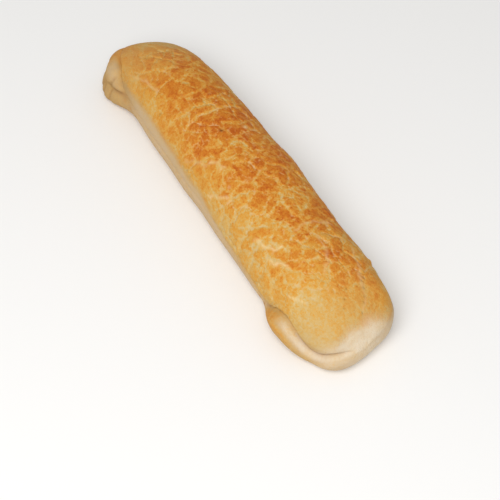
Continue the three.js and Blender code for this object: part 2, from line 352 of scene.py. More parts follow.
# ridge: cream on the lip's ridge, partly a painted highlight
CREAM = Values(ridge=0.85, flank=0.35, lobe=0.25)
# Painted shade in the fold's crease and the lobes' parting: where it lies, and how much of its colour is
# laid on
GROOVE_SHADE = Values(crease=near(-0.3, 0.4), parting=past(0, 2), share=0.6)

# Screen colours: the law that makes them linear
SCREEN = Values(knee=0.04045, slope=12.92, offset=0.055, power=2.4)

# Material: speckles with sizes in mm, how much of them there is, and the steps that shape them
MOTTLE = Values(size=5, detail=4, rough=0.65, share=1.3)
RAGGED_EDGE = Values(size=2.2, detail=4, rough=0.7, plate_share=4.0, flake_share=3.0)
GRAIN = Values(size=1.1, detail=4, rough=0.8, share=1.0)
FRECKLES = Values(size=1.4, detail=3, rough=0.6, shown=step(0.02, 0.25, 0, 0.4))
PLATE_TONE = step(0.1, 1.9, -0.2, 0.13)
FLAKE_TONE = step(0, 1.4, -0.1, 0.05)
BAKE_TO_COLOUR = Values(scale=0.85, base=0.15)
COLOUR_STOPS = dict(pale=0, straw=0.15, gold=0.36, amber=0.57, brown=0.79, dark=1)
CRACK_LINE = step(-0.3, 0.6, 1, 0)
FLAKE_LINE = step(-0.3, 0.5, 0.5, 0)
BROKEN_LINE = step(-0.12, 0.1, 0.15, 0.95)
PLACED_LINE = step(-0.2, 0.15, 0.3, 1)
DOUGH_STRAW = step(-0.2, 0.3, 0, 0.35)
DOUGH_GOLD = step(-0.05, 0.3, 0, 0.4)
TRAY_SHARE = 0.8
ROUGHNESS = step(-0.3, 0.3, 0.6, 0.8)
SPECULAR = 0.15
BUMP = Values(strength=0.8, depth=0.3, ragged_share=2.0)

# Stage: the floor and the main light, in metres, and the camera
FLOOR = Values(half_side=3, roughness=0.8)
KEY_LIGHT = Values(direction=(0.42, -0.42, 0.81), distance=1.2, size=0.9)
WHITE = (1, 1, 1, 1)
CAMERA = Values(azimuth=60.53, elevation=48, distance=760, lens=107.8)
CAMERA_TARGET = (0.45, 3.1, 18)
CAMERA_OFFSET = Values(right=3.6, up=-35.58)


def hash01(i, j, k, seed):
    """A scrambled number from 0 to 1 for whole numbers."""

    def word(value, factor):
        return np.asarray(value, np.int64).astype(np.uint64) * np.uint64(factor) & WORD

    a, b, c, d = (word(value, factor) for value, factor in zip((i, j, k, seed), HASH_FACTORS))
    h = a + b + c + d & WORD
    for shift, factor in HASH_ROUNDS:
        h = (h ^ h >> np.uint64(shift)) * np.uint64(factor) & WORD
    return (h ^ h >> np.uint64(HASH_LAST_SHIFT)).astype(float) / 2**32


def noise(x, y, z, seed):
    """Smooth noise from -1 to 1."""
    x, y, z = np.broadcast_arrays(x, y, z)
    i, j, k = (np.floor(c).astype(np.int64) for c in (x, y, z))
    u, v, w = (t * t * (3 - 2 * t) for t in (x - i, y - j, z - k))

    def row(dj, dk):
        return mix(hash01(i, j + dj, k + dk, seed), hash01(i + 1, j + dj, k + dk, seed), u)

    def slab(dk):
        return mix(row(0, dk), row(1, dk), v)

    return 2 * mix(slab(0), slab(1), w) - 1


def layered(x, y, z, kind):
    """A kind of noise, within its height either way."""
    total = 0
    for layer in range(kind.layers):
        period = kind.period / 2**layer
        total = total + noise(x / period, y / period, z / period, kind.seed + layer) / 2**layer
    return kind.height * total / (2 - 2 ** (1 - kind.layers))


def end_share(along, power):
    """How much of its full reach the loaf keeps towards an end, from 1 in the middle to 0 at the tip."""
    return np.maximum(1 - np.abs(along) ** power, 0) ** (1 / power)


def ring_size(across, up):
    """The section's own radius in a direction across the loaf."""
    power = np.where(up >= 0, SECTION_POWER.top, SECTION_POWER.bottom)
    return (np.abs(across) ** power + np.abs(up) ** power) ** (1 / power)


class Loaf:
    """The straight loaf that everything else is laid on."""

    def __init__(self, sizes):
        self.half_length = sizes.length / MM / 2
        self.half_width = sizes.width / MM / 2
        self.height = sizes.height / MM

    def section(self, along, above):
        """Half width, and rise above or below the widest line, at a share of the half length."""
        blunt = along > 0
        taper = mix(TAPER.slim, TAPER.blunt, (along + 1) / 2)
        side = np.where(blunt, BLUNT_END_POWER.side, SLIM_END_POWER.side)
        top = np.where(blunt, BLUNT_END_POWER.top, SLIM_END_POWER.top)
        bottom = np.where(blunt, BLUNT_END_POWER.bottom, SLIM_END_POWER.bottom)
        over = (self.height - WIDEST_AT) * end_share(along, top)
        under = (WIDEST_AT + BASE_CUT) * end_share(along, bottom)
        return self.half_width * taper * end_share(along, side), np.where(above, over, under)

    def at(self, along, across, up):
        """The point at a share of the half length and a direction on the unit section."""
        half_width, rise = self.section(along, up >= 0)
        return np.stack([self.half_length * along, half_width * across, WIDEST_AT + rise * up], 1)

    def drawn(self, block):
        """Draws points of a block's skin out to the loaf: its sides become rings, its ends caps."""
        u = block[:, 0]
        across = np.tan(math.pi / 4 * block[:, 1])
        up = np.tan(math.pi / 4 * np.sign(block[:, 2]) * np.abs(block[:, 2]) ** ROW_CROWDING)
        ring = np.maximum(ring_size(across, up), TINY)
        power = np.where(u > 0, BLUNT_END_POWER.side, SLIM_END_POWER.side)
        radius = np.maximum(np.abs(across), np.abs(up)) * end_share(CAP_FROM, power)
        on_side = CAP_FROM * u * (1 + END_CROWDING * (1 - u * u))
        on_cap = np.sign(u) * end_share(radius, power)
        along = np.where(np.abs(u) > CAP_EDGE, on_cap, on_side)
        return self.at(along, across / ring, up / ring)

    def back_on(self, point):
        """Brings points that have left the loaf back onto its section there."""
        along = point[:, 0] / self.half_length
        lift = point[:, 2] - WIDEST_AT
        half_width, rise = self.section(along, lift >= 0)
        across = point[:, 1] / half_width
        up = lift / rise
        ring = ring_size(across, up)
        return self.at(along, across / ring, up / ring)

    def creased(self, point):
        """Slides points up or down the loaf so that the block's middle row comes to lie on the crease."""
        along = point[:, 0] / self.half_length
        over = np.maximum(self.section(along, True)[1], TINY)
        under = np.maximum(self.section(along, False)[1], TINY)
        crease = fold_at(point).height
        crease = np.clip(crease, WIDEST_AT - CREASE.room * under, WIDEST_AT + CREASE.room * over)
        limit = np.where(point[:, 2] >= WIDEST_AT, WIDEST_AT + over, WIDEST_AT - under)
        height = mix(crease, limit, (point[:, 2] - WIDEST_AT) / (limit - WIDEST_AT))
        lift = height - WIDEST_AT
        half_width, rise = self.section(along, lift >= 0)
        power = np.where(lift >= 0, SECTION_POWER.top, SECTION_POWER.bottom)
        up = np.minimum(np.abs(lift) / np.maximum(rise, TINY), 1)
        across = np.sign(point[:, 1]) * (1 - up**power) ** (1 / power)
        return np.stack([point[:, 0], half_width * across, height], 1)

    def skewed(self, point):
        """Turns the ends out of square."""
        out = np.abs(point[:, 0]) / self.half_length
        turn = np.maximum((out - END_SKEW.start) / (1 - END_SKEW.start), 0) ** 2
        skew = np.where(point[:, 0] > 0, END_SKEW.blunt, END_SKEW.slim)
        turned = point.copy()
        turned[:, 0] -= skew * point[:, 1] * turn
        return turned


def unrolled(point):
    """Where points lie on the unrolled loaf: mm along, and mm around from the crown."""
    angle = np.arctan2(point[:, 1], point[:, 2] - AXIS_HEIGHT)
    return point[:, 0], UNROLL_RADIUS * angle


def arc(angle):
    """Mm around the unrolled loaf for degrees from the crown."""
    return UNROLL_RADIUS * math.radians(angle)


def angle_of(around):
    """Degrees from the crown for mm around the unrolled loaf."""
    return np.degrees(around / UNROLL_RADIUS)


def warped(along, around, warp):
    """Places pushed about by noise."""
    shift = noise(along / warp.period, around / warp.period, 0, warp.seed_along)
    drift = noise(along / warp.period, around / warp.period, 0, warp.seed_around)
    return along + warp.height * shift, around + warp.height * drift


def crust_edge(along, around):
    """How many degrees from the crown the crust ends; on one side it droops towards the lip."""
    wander = noise(along / CRUST_EDGE.period, np.sign(around), 0, CRUST_EDGE.seed)
    droop = np.where(around < 0, CRUST_DROOP.angle * CRUST_DROOP.along(along), 0)
    return CRUST_EDGE.angle + CRUST_EDGE.wander * wander + droop


def crust_cover(along, around):
    """How fully the crust covers a place, and how fully it is cracked there."""
    edge = crust_edge(along, around)
    sides = 1 - ramp(np.abs(angle_of(around)), edge - CRUST_EDGE.fade, edge + CRUST_EDGE.fade)
    return sides, sides * CRUST_ENDS.slim(along) * CRUST_ENDS.blunt(along)


def cells_at(along, around, cells, warp):
    """The plate or flake that holds each place, and how far off and which way its nearest crack lies."""
    along, around = warped(*warped(along, around, RAGGED), warp)
    column = np.floor(along / cells.along).astype(np.int64)
    line = np.floor(around / cells.around).astype(np.int64)
    close_by = [(column + i, line + j) for i in CELL_REACH for j in CELL_REACH]
    i, j = (np.stack(c) for c in zip(*close_by))
    shift = cells.jitter * (hash01(i, j, CELL_SALT.along, cells.seed) - 0.5)
    drift = cells.jitter * (hash01(i, j, CELL_SALT.around, cells.seed) - 0.5)
    middle_along = (i + 0.5 + shift) * cells.along
    middle_around = (j + 0.5 + drift) * cells.around
    gap = np.hypot(middle_along - along, middle_around - around)
    own = np.argmin(gap, 0), np.arange(len(along))
    step_along = middle_along - middle_along[own]
    step_around = middle_around - middle_around[own]
    apart = np.maximum(np.hypot(step_along, step_around), TINY)
    crack_gap = (gap**2 - gap[own] ** 2) / (2 * apart)
    crack_gap[own] = np.inf
    next_to = np.argmin(crack_gap, 0), own[1]
    return Values(
        i=i[own],
        j=j[own],
        gap=crack_gap[next_to],
        way=(step_along[next_to] / apart[next_to], step_around[next_to] / apart[next_to]),
    )


def lobes_at(x, z):
    """How far the larger of the two lobes stands out, and how close the line is that parts them."""
    upper, lower = (lobe.reach * lobe.along(x) * lobe.up(z) for lobe in LOBES)
    larger = np.maximum(upper, lower)
    return larger, LOBE_PARTING.line(upper - lower) * LOBE_PARTING.out(larger)


def fold_at(point):
    """The fold of dough round the loaf: its shares at the ends, and how far below its crease points lie."""
    x, y, z = point.T
    blunt = LIP.along(x)
    slim = LOBE_CREASE.along(x)
    tip = mix(1, TIP.keep, TIP.along(x))
    lobe_side = LOBE_SIDE(y)
    crease_side = CREASE_SIDE(y)
    drop = LIP_DROP.along(x)
    wander = noise(x / FOLD_WANDER.period, np.where(y < 0, 0, 1), 0, FOLD_WANDER.seed)
    blunt_height = mix(FOLD_HEIGHT + FOLD_WANDER.height * wander, LIP.height, blunt)
    blunt_height = blunt_height - LIP_DIP.height * crease_side * LIP_DIP.along(x) - LIP_DROP.height * drop
    slim_height = mix(TIP.height, LOBE_RISE.height, lobe_side)
    height = mix(blunt_height, slim_height, LOBE_RISE.along(x))
    lobe_out, parting = lobes_at(x, z)
    return Values(
        blunt=blunt,
        lip=blunt * LIP_SIDE(y) * (1 - LIP_DROP.thin * drop),
        crease_side=crease_side,
        lip_crease=blunt * crease_side**2,
        tip=tip,
        bevel=BEVEL.along(x) * BEVEL.across(y),
        bevel_top=mix(BEVEL_TOP.low, BEVEL_TOP.high, BEVEL_TOP.across(y)),
        lobes=slim * tip * lobe_side,
        corner=slim * lobe_side,
        lobe_side=lobe_side,
        height=height,
        below=height - z,
        lobe_out=lobe_out,
        parting=parting,
        z=z,
    )


def settled_on_cracks(loaf, point):
    """Slides points that lie close to a crack along the surface and onto it."""
    along, around = unrolled(point)
    plates = cells_at(along, around, PLATES, PLATE_WARP)
    on_crease = np.abs(fold_at(point).below) < CREASE.spread_under
    close = (crust_cover(along, around)[1] > 0) & (plates.gap < CRACK_SNAP) & ~on_crease
    along = (along + plates.gap * plates.way[0])[close]
    angle = (around + plates.gap * plates.way[1])[close] / UNROLL_RADIUS
    radius = np.hypot(point[close, 1], point[close, 2] - AXIS_HEIGHT)
    moved = np.stack([along, radius * np.sin(angle), AXIS_HEIGHT + radius * np.cos(angle)], 1)
    settled = point.copy()
    settled[close] = loaf.back_on(moved)
    return settled


class Skin:
    """What lies at each point of the loaf: the fold, the plates, the cracks and the tray's marks."""

    def __init__(self, point):
        self.x, self.y, self.z = point.T
        self.along, self.around = unrolled(point)
        self.angle = angle_of(self.around)
        self.fold = fold_at(point)
        self.below, self.lip, self.corner = self.fold.below, self.fold.lip, self.fold.corner
        self.sides, self.cracked = crust_cover(self.along, self.around)
        self.plates = cells_at(self.along, self.around, PLATES, PLATE_WARP)
        self.flakes = cells_at(self.along, self.around, FLAKES, FLAKE_WARP)
        self.ragged = np.stack(warped(self.along, self.around, RAGGED), 1)
        opened = CRACK_OPENNESS.open(self.flat_noise(CRACK_OPENNESS.pattern))
        self.openness = mix(CRACK_OPENNESS.least, 1, opened)
        self.tray_spots = self.tray_marks()
        self.wrinkles = self.lobe_wrinkles()

    def noise(self, kind):
        return layered(self.x, self.y, self.z, kind)

    def flat_noise(self, kind):
        """Noise that lies on the unrolled loaf."""
        return layered(self.along, self.around, 0, kind)

    def share(self, region):
        """How fully points lie in a region, given as windows on their places."""
        return np.prod([window(getattr(self, name)) for name, window in region.items()], 0)

    def total(self, patches):
        """What patches add up to, each given as an amount and a region."""
        return sum(amount * self.share(region) for amount, region in patches)

    def to_spots(self, places):
        """Distance from the nearest of some places."""
        return np.min([np.linalg.norm(self.ragged - (a, arc(angle)), axis=1) for a, angle in places], 0)

    def to_lines(self, lines):
        """Distance from the nearest of some lines."""
        nearest = np.full(len(self.x), np.inf)
        for line in lines:
            spots = [np.array((a, arc(angle))) for a, angle in line]
            for start, end in zip(spots, spots[1:]):
                run = end - start
                part = np.clip((self.ragged - start) @ run / (run @ run), 0, 1)
                away = np.linalg.norm(self.ragged - start - part[:, None] * run, axis=1)
                nearest = np.minimum(nearest, away)
        return nearest

    def on_spots(self, group):
        """How close points lie to the nearest place of a group, 1 being on it."""
        return bell(self.to_spots(group.places), 0, group.spread)

    def on_lines(self, group):
        """How close points lie to the nearest line of a group, 1 being on it."""
        return bell(self.to_lines(group.lines), 0, group.spread)

    def lobe_wrinkles(self):
        """How close a point lies to a wrinkle of the lobes."""
        lines = LOBE_WRINKLES.line(self.noise(LOBE_WRINKLES.pattern))
        on_lobe = LOBE_WRINKLES.out(self.fold.lobe_out) * self.fold.lobe_side
        return lines * on_lobe * LOBE_WRINKLES.below(self.below)

    def tray_marks(self):
        """How close a point lies to one of the tray's holes, low on the roll."""
        low = TRAY.low(self.z + self.noise(TRAY_WANDER))
        reach = np.abs(self.y) + np.maximum(self.z, 0)
        row = np.round(reach / TRAY.pitch)
        stagger = 0.5 * (row % 2)
        column = np.round(self.x / TRAY.pitch - stagger) + stagger
        off = np.hypot(self.x - column * TRAY.pitch, reach - row * TRAY.pitch)
        return low * bell(off, 0, TRAY.spot)


def fold_relief(fold):
    """The crease round the loaf, with the lip, the bevel and the lobes that swell out below it."""
    tuck = mix(1, TUCK.keep, TUCK.below(fold.below))
    eased = ramp(fold.below, -LIP.ease, LIP.ease)
    lip = LIP.reach * fold.lip * mix(eased, shoulder(fold.below, 0, LIP.rise), fold.crease_side)
    bevel = BEVEL.reach * fold.bevel * ramp(fold.bevel_top - fold.z, 0, BEVEL.rise)
    lobes = fold.lobe_out - LOBE_PARTING.depth * fold.parting
    lobes = lobes * fold.lobe_side * shoulder(fold.below, 0, LOBE_EDGE)
    blunt_depth = LIP.crease * fold.crease_side
    depth = fold.tip * mix(CREASE.depth, blunt_depth, fold.blunt) + LOBE_CREASE.depth * fold.lobes
    spread = np.where(fold.below < 0, CREASE.spread_over, CREASE.spread_under)
    line = CREASE_LINE.depth * CREASE_LINE.below(fold.below) * np.maximum(fold.lip_crease, fold.corner)
    return tuck * (lip + bevel) + lobes - depth * bell(fold.below, 0, spread) - line


def crust_relief(skin, crack_depth):
    """The crust's thickness, its plates at different heights, and the cracks round plates and flakes."""
    plates = skin.plates
    lift = PLATE_LIFT.height * (hash01(plates.i, plates.j, CELL_SALT.lift, PLATE_LIFT.seed) - 0.5)
    valley = bell(plates.gap, 0, CRACK_SPREAD)
    plate = lift * (1 - valley) - crack_depth * skin.openness * valley
    flake = FLAKE_DEPTH * bell(skin.flakes.gap, 0, FLAKE_SPREAD)
    grain = skin.noise(CRUST_GRAIN)
    curl = CURLS.height * skin.on_spots(CURLS)
    return CRUST_EDGE.thickness * skin.sides + skin.cracked * (plate - flake + grain + curl)


def relief(skin, crack_depth):
    """How far the surface stands out from the straight loaf."""
    swell = sum(skin.noise(lump) for lump in LUMPS)
    for place in SWELLS:
        away = np.hypot(skin.along - place.along, skin.around - arc(place.angle))
        swell = swell + place.height * bell(away, 0, place.spread)
    loose = mix(WRINKLE_SHARE.rest, 1, np.maximum(skin.corner, WRINKLE_SHARE.lip * skin.lip))
    wrinkle = loose * skin.noise(WRINKLES) - LOBE_WRINKLES.depth * skin.wrinkles
    pit = PITS.depth * bell(skin.to_spots(PITS.places), 0, PITS.width)
    return swell + wrinkle - pit + fold_relief(skin.fold) + crust_relief(skin, crack_depth)


def strongest(*shares):
    return np.maximum.reduce(shares)


def liveliness(skin, margin):
    """How strongly the crackle's pattern shows."""
    lively = mix(LIVELY.sides, 1, CROWN(skin.angle)) * mix(LIVELY.ends, 1, MIDDLE(skin.along)) * skin.sides
    return lively * (1 - skin.total(CALM_PATCHES)) * (1 - LIVELY.margin_calm * margin)


def baking(skin, lively, margin):
    """How brown the crust is by its place on the loaf, from plate to plate, and in patches and spots."""
    plates = skin.plates
    tone = hash01(plates.i, plates.j, CELL_SALT.tone, PLATES.seed) - 0.5
    bake = mix(BAKE_ENDS.slim, BAKE_ENDS.blunt, BAKE_ENDS.along(skin.along)) + BAKE.margin * margin
    bake = bake + BAKE.crown * CROWN(skin.angle) * MIDDLE(skin.along) + skin.total(BAKE_PATCHES)
    for group in (BROWNED, DARKEST, PALER):
        bake = bake + group.bake * skin.on_spots(group)
    return bake + lively * (BAKE.plate * tone + skin.noise(BAKE_PATTERN)) + skin.noise(BAKE_DRIFT)


def cracks_shown(skin):
    """How clearly cracks show pale: less towards one side and the slim end."""
    by_side = mix(FAINT_SIDE.least, 1, FAINT_SIDE.angle(skin.angle))
    by_end = mix(FAINT_END.least, 1, FAINT_END.along(skin.along))
    return skin.cracked * by_side * by_end


def end_dough(skin):
    """How bare the blunt end's face is, and the thinner crust round it."""
    face = skin.share(END_FACE)
    depth = skin.fold.bevel_top - skin.total(END_EDGE_DROPS) - skin.z
    wander = skin.noise(END_EDGE.wander)
    halo = END_HALO.share * face * END_HALO.edge(depth + END_HALO.wander * wander)
    return face * END_EDGE.share(depth + wander), halo


def bare_dough(skin, edge, toast, gold):
    """How bare the dough is at each point, less so where the lip is toasted and painted in shade, and how
    creamy, with a painted highlight on the lip's ridge and painted shade on the end face.
    """
    clear_of_toast_and_shade = 1 - DOUGH_HIDDEN.toast * toast
    folded = np.maximum(UNDER_FOLD.lip(skin.lip), UNDER_FOLD.corner(skin.corner))
    under_fold = UNDER_FOLD.below(skin.below) * folded * clear_of_toast_and_shade * (1 - DOUGH_HIDDEN.gold * gold)
    flank = ramp(np.abs(skin.angle), edge - FLANK.start, edge + FLANK.end) * clear_of_toast_and_shade
    end_face, halo = end_dough(skin)
    thin = skin.total(THIN_CRUST) * (1 + skin.noise(THIN_PATTERN)) * (1 - skin.total(THICK_CORNER))
    end_pale = END_PALE.base + skin.noise(END_PALE.pattern)
    # painted shade where the end face turns from the light and on the lip
    for painted_shade, region in END_PAINTED_SHADE:
        end_pale = end_pale * (1 - painted_shade * skin.share(region))
    cream = strongest(
        end_face * end_pale,
        # the lip's ridge, cream dough with a painted highlight
        CREAM.ridge * skin.share(LIP_RIDGE_CREAM_AND_HIGHLIGHT),
        CREAM.flank * flank * (1 - np.maximum(skin.corner, skin.lip)),
        CREAM.lobe * skin.corner * skin.share(LOBE_PALE),
    )
    return strongest(flank, under_fold, end_face, thin, halo), cream


def groove_shading(skin):
    """How much painted shade a point gets deep in the fold's crease, between the lobes and in their
    wrinkles.
    """
    fold = skin.fold
    crease = GROOVE_SHADE.crease(fold.below) * np.maximum(fold.lip_crease, fold.lobes)
    parting = fold.parting * fold.lobe_side * GROOVE_SHADE.parting(fold.below)
    return strongest(crease, parting, LOBE_WRINKLES.dark * skin.wrinkles)


def finish(skin):
    """The numbers that the crust's material reads at each point."""
    edge = crust_edge(skin.along, skin.around) + skin.noise(EDGE_WANDER)
    margin = ramp(-skin.angle, edge - MARGIN.start, edge - MARGIN.end)
    # the lip's outer side, browner partly from toasting and partly as painted shade
    toast = strongest(*(skin.share(region) for region in LIP_TOAST_AND_SHADE)) * skin.share(LIP_TOAST_AND_SHADE_LIMITS)
    gold = skin.corner * skin.share(LOBE_GOLD)
    lively = liveliness(skin, margin)
    shown = cracks_shown(skin)
    placed = [group.share * skin.on_lines(group) for group in (CRACKS, SEAMS)]
    dough, cream = bare_dough(skin, edge, toast, gold)
    return {
        "bake": baking(skin, lively, margin) + BAKE.lip * toast + BAKE.lobe * gold,
        "lively": lively,
        "plate_gap": skin.plates.gap,
        "flake_gap": skin.flakes.gap,
        "crack_pale": shown * skin.openness,
        "flake_pale": shown * FLAKES_SHOWN.share(skin.flat_noise(FLAKES_SHOWN.pattern)),
        "placed_pale": strongest(*placed, FLECKS.share * skin.on_spots(FLECKS)),
        "dough": dough,
        "cream": cream,
        "groove_shade": groove_shading(skin),
        "burnt": strongest(*(group.share * skin.on_spots(group) for group in (SPECK, FAINT_SPECK, PITS))),
        "tray": skin.tray_spots * TRAY.ends(np.abs(skin.x)),
    }


def cut_block():
    """A block from -1 to 1 whose sides are cut into facets."""
    bm = bmesh.new()
    bmesh.ops.create_cube(bm, size=2)
    for axis, facets in enumerate(FACETS):
        lengthwise = [e for e in bm.edges if abs(e.verts[0].co[axis] - e.verts[1].co[axis]) > 1]
        bmesh.ops.subdivide_edges(bm, edges=lengthwise, cuts=facets - 1, use_grid_fill=True)
    return bm


def read_vectors(collection, name, count):
    values = np.empty(count * 3)
    collection.foreach_get(name, values)
    return values.reshape(-1, 3)


def make_roll(sizes):
    """The roll's mesh: a cut block drawn out to the loaf, with its relief and the numbers of its finish."""
    loaf = Loaf(sizes)
    bm = cut_block()
    mesh = bpy.data.meshes.new("roll_crust")
    bm.to_mesh(mesh)
    bm.free()
    count = len(mesh.vertices)
    block = read_vectors(mesh.vertices, "co", count)
    point = settled_on_cracks(loaf, loaf.creased(loaf.drawn(block)))
    place = loaf.skewed(point)
    mesh.vertices.foreach_set("co", place.ravel())
    mesh.update()
    normal = read_vectors(mesh.vertex_normals, "vector", count)
    skin = Skin(point)
    place = place + normal * relief(skin, sizes.crack_depth / MM)[:, None]
    place[:, 2] = np.maximum(place[:, 2], TRAY.height * (1 - skin.tray_spots))
    place[:, 2] -= place[:, 2].min()
    off_centre = (place.min(0) + place.max(0)) / 2 - np.array((NODE_LOW + NODE_HIGH) / 2) / MM
    place[:, :2] -= off_centre[:2]
    mesh.vertices.foreach_set("co", (place * MM).ravel())
    for name, values in finish(skin).items():
        mesh.attributes.new(name, "FLOAT", "POINT").data.foreach_set("value", values)
    mesh.polygons.foreach_set("use_smooth", np.ones(len(mesh.polygons), bool))
    mesh.update()
    return mesh


def srgb(red, green, blue):
    """A colour as screens give it, 0 to 255, made linear."""
    levels = np.array((red, green, blue)) / 255
    curve = ((levels + SCREEN.offset) / (1 + SCREEN.offset)) ** SCREEN.power
    return tuple(np.where(levels <= SCREEN.knee, levels / SCREEN.slope, curve))


class NodeDesk:
    """Adds nodes to a material and links them."""

    def __init__(self, name):
        self.material = bpy.data.materials.new(name)
        self.material.use_nodes = True
        self.tree = self.material.node_tree
        self.shader = self.tree.nodes["Principled BSDF"]

    def put(self, value, socket):
        """Links a socket to another, or sets its own value."""
        if isinstance(value, bpy.types.NodeSocket):
            self.tree.links.new(value, socket)
        else:
            socket.default_value = value

    def add(self, kind, **inputs):
        node = self.tree.nodes.new(kind)
        for name, value in inputs.items():
            self.put(value, node.inputs[name.replace("_", " ")])
        return node

    def attribute(self, name):
        node = self.tree.nodes.new("ShaderNodeAttribute")
        node.attribute_name = name
        return node.outputs["Fac"]

    def math(self, operation, *values):
        node = self.tree.nodes.new("ShaderNodeMath")
        node.operation = operation
        for socket, value in zip(node.inputs, values):
            self.put(value, socket)
        return node.outputs[0]

    def times(self, value, other):
        return self.math("MULTIPLY", value, other)

    def plus(self, value, share, base):
        """The base with a share of a value added."""
        return self.math("MULTIPLY_ADD", value, share, base)

    def smooth(self, value, kind):
        """A smooth step of a value."""
        node = self.add("ShaderNodeMapRange", Value=value, From_Min=kind.start, From_Max=kind.end)
        node.inputs["To Min"].default_value = kind.low
        node.inputs["To Max"].default_value = kind.high
        node.interpolation_type = "SMOOTHSTEP"
        return node.outputs["Result"]

    def speckle(self, kind):
        """Noise round 0 whose largest spots have a size in mm."""
        place = self.tree.nodes.new("ShaderNodeTexCoord").outputs["Object"]
        node = self.add("ShaderNodeTexNoise", Vector=place, Detail=kind.detail, Roughness=kind.rough)
        node.inputs["Scale"].default_value = 1 / (kind.size * MM)
        return self.math("SUBTRACT", node.outputs["Fac"], 0.5)

    def blend(self, share, under, over):
        """One colour laid over another; a colour that is the same all over has three levels."""
        node = self.tree.nodes.new("ShaderNodeMix")
        node.data_type = "RGBA"
        self.put(share, node.inputs[0])
        for socket, colour in zip((s for s in node.inputs if s.type == "RGBA"), (under, over)):
            self.put(colour if isinstance(colour, bpy.types.NodeSocket) else (*colour, 1), socket)
        return next(s for s in node.outputs if s.type == "RGBA")

    def ramp(self, share, stops):
        node = self.add("ShaderNodeValToRGB", Fac=share)
        elements = node.color_ramp.elements
        while len(elements) < len(stops):
            elements.new(1)
        for element, (position, colour) in zip(elements, stops):
            element.position = position
            element.color = (*colour, 1)
        return node.outputs["Color"]


def crackle(desk):
    """The speckles and the ragged edges of plates and flakes that the crust's colours share."""
    ragged = desk.speckle(RAGGED_EDGE)
    return Values(
        mottle=desk.speckle(MOTTLE),
        ragged=ragged,
        grain=desk.speckle(GRAIN),
        plate_edge=desk.plus(ragged, RAGGED_EDGE.plate_share, desk.attribute("plate_gap")),
        flake_edge=desk.plus(ragged, RAGGED_EDGE.flake_share, desk.attribute("flake_gap")),
    )


def baked_colour(desk, look, colours):
    """Crust that browns in patches, on each plate and flake, and in freckles."""
    plate = desk.smooth(look.plate_edge, PLATE_TONE)
    flake = desk.smooth(look.flake_edge, FLAKE_TONE)
    pattern = desk.plus(look.mottle, MOTTLE.share, desk.math("ADD", plate, flake))
    pattern = desk.math("ADD", pattern, desk.smooth(desk.speckle(FRECKLES), FRECKLES.shown))
    grained = desk.plus(look.grain, GRAIN.share, desk.attribute("bake"))
    bake = desk.plus(desk.attribute("lively"), pattern, grained)
    stops = [(position, getattr(colours, name)) for name, position in COLOUR_STOPS.items()]
    return desk.ramp(desk.plus(bake, BAKE_TO_COLOUR.scale, BAKE_TO_COLOUR.base), stops)


def with_cracks(desk, look, colours, colour):
    """A colour with pale cracks over it: broken lines round plates and flakes, and the listed ones."""
    crack = desk.times(desk.attribute("crack_pale"), desk.smooth(look.plate_edge, CRACK_LINE))
    hair = desk.times(desk.attribute("flake_pale"), desk.smooth(look.flake_edge, FLAKE_LINE))
    lines = desk.times(desk.smooth(look.mottle, BROKEN_LINE), desk.math("MAXIMUM", crack, hair))
    placed = desk.times(desk.attribute("placed_pale"), desk.smooth(look.ragged, PLACED_LINE))
    colour = desk.blend(lines, colour, colours.crack)
    return desk.blend(placed, colour, colours.crumb)


def dough_colour(desk, look, colours):
    """Bare dough, creamy in places and with a painted highlight on the lip's ridge, with a little colour
    from the oven.
    """
    dough = desk.blend(desk.attribute("cream"), colours.dough, colours.cream)
    dough = desk.blend(desk.smooth(look.mottle, DOUGH_STRAW), dough, colours.straw)
    return desk.blend(desk.smooth(look.grain, DOUGH_GOLD), dough, colours.gold)


def crust_material(colours):
    """Baked crust with pale cracks, bare dough where it ends, painted shade in the grooves, burnt specks
    and tray marks.
    """
    desk = NodeDesk("baked_crust")
    look = crackle(desk)
    colour = with_cracks(desk, look, colours, baked_colour(desk, look, colours))
    colour = desk.blend(desk.attribute("dough"), colour, dough_colour(desk, look, colours))
    # painted shade deep in the crease, between the lobes and in their wrinkles
    colour = desk.blend(desk.times(desk.attribute("groove_shade"), GROOVE_SHADE.share), colour, colours.groove_shade)
    colour = desk.blend(desk.attribute("burnt"), colour, colours.burnt)
    colour = desk.blend(desk.times(desk.attribute("tray"), TRAY_SHARE), colour, colours.tray)
    height = desk.plus(look.ragged, BUMP.ragged_share, look.grain)
    bump = desk.add("ShaderNodeBump", Strength=BUMP.strength, Distance=BUMP.depth * MM, Height=height)
    sockets = desk.shader.inputs
    desk.put(colour, sockets["Base Color"])
    desk.put(desk.smooth(look.grain, ROUGHNESS), sockets["Roughness"])
    desk.put(SPECULAR, sockets["Specular IOR Level"])
    desk.put(bump.outputs["Normal"], sockets["Normal"])
    return desk.material


def colour_setting(name, description, *levels):
    return FloatVectorProperty(
        name=name, description=description, subtype="COLOR", size=3, min=0, max=1, default=srgb(*levels)
    )


def length_setting(name, description, millimetres):
    return FloatProperty(name=name, description=description, unit="LENGTH", min=0, default=millimetres * MM)


class RollSizes(PropertyGroup):
    """The loaf's own sizes, before its fold, lobes and crust."""

    length: length_setting("Length", "Length of the straight loaf", LOAF.length)
    width: length_setting("Width", "Width of the loaf at its middle", LOAF.width)
    height: length_setting("Height", "Height of the loaf over its base", LOAF.height)
    crack_depth: length_setting("Crack depth", "Depth of the cracks between plates", CRACK_DEPTH)


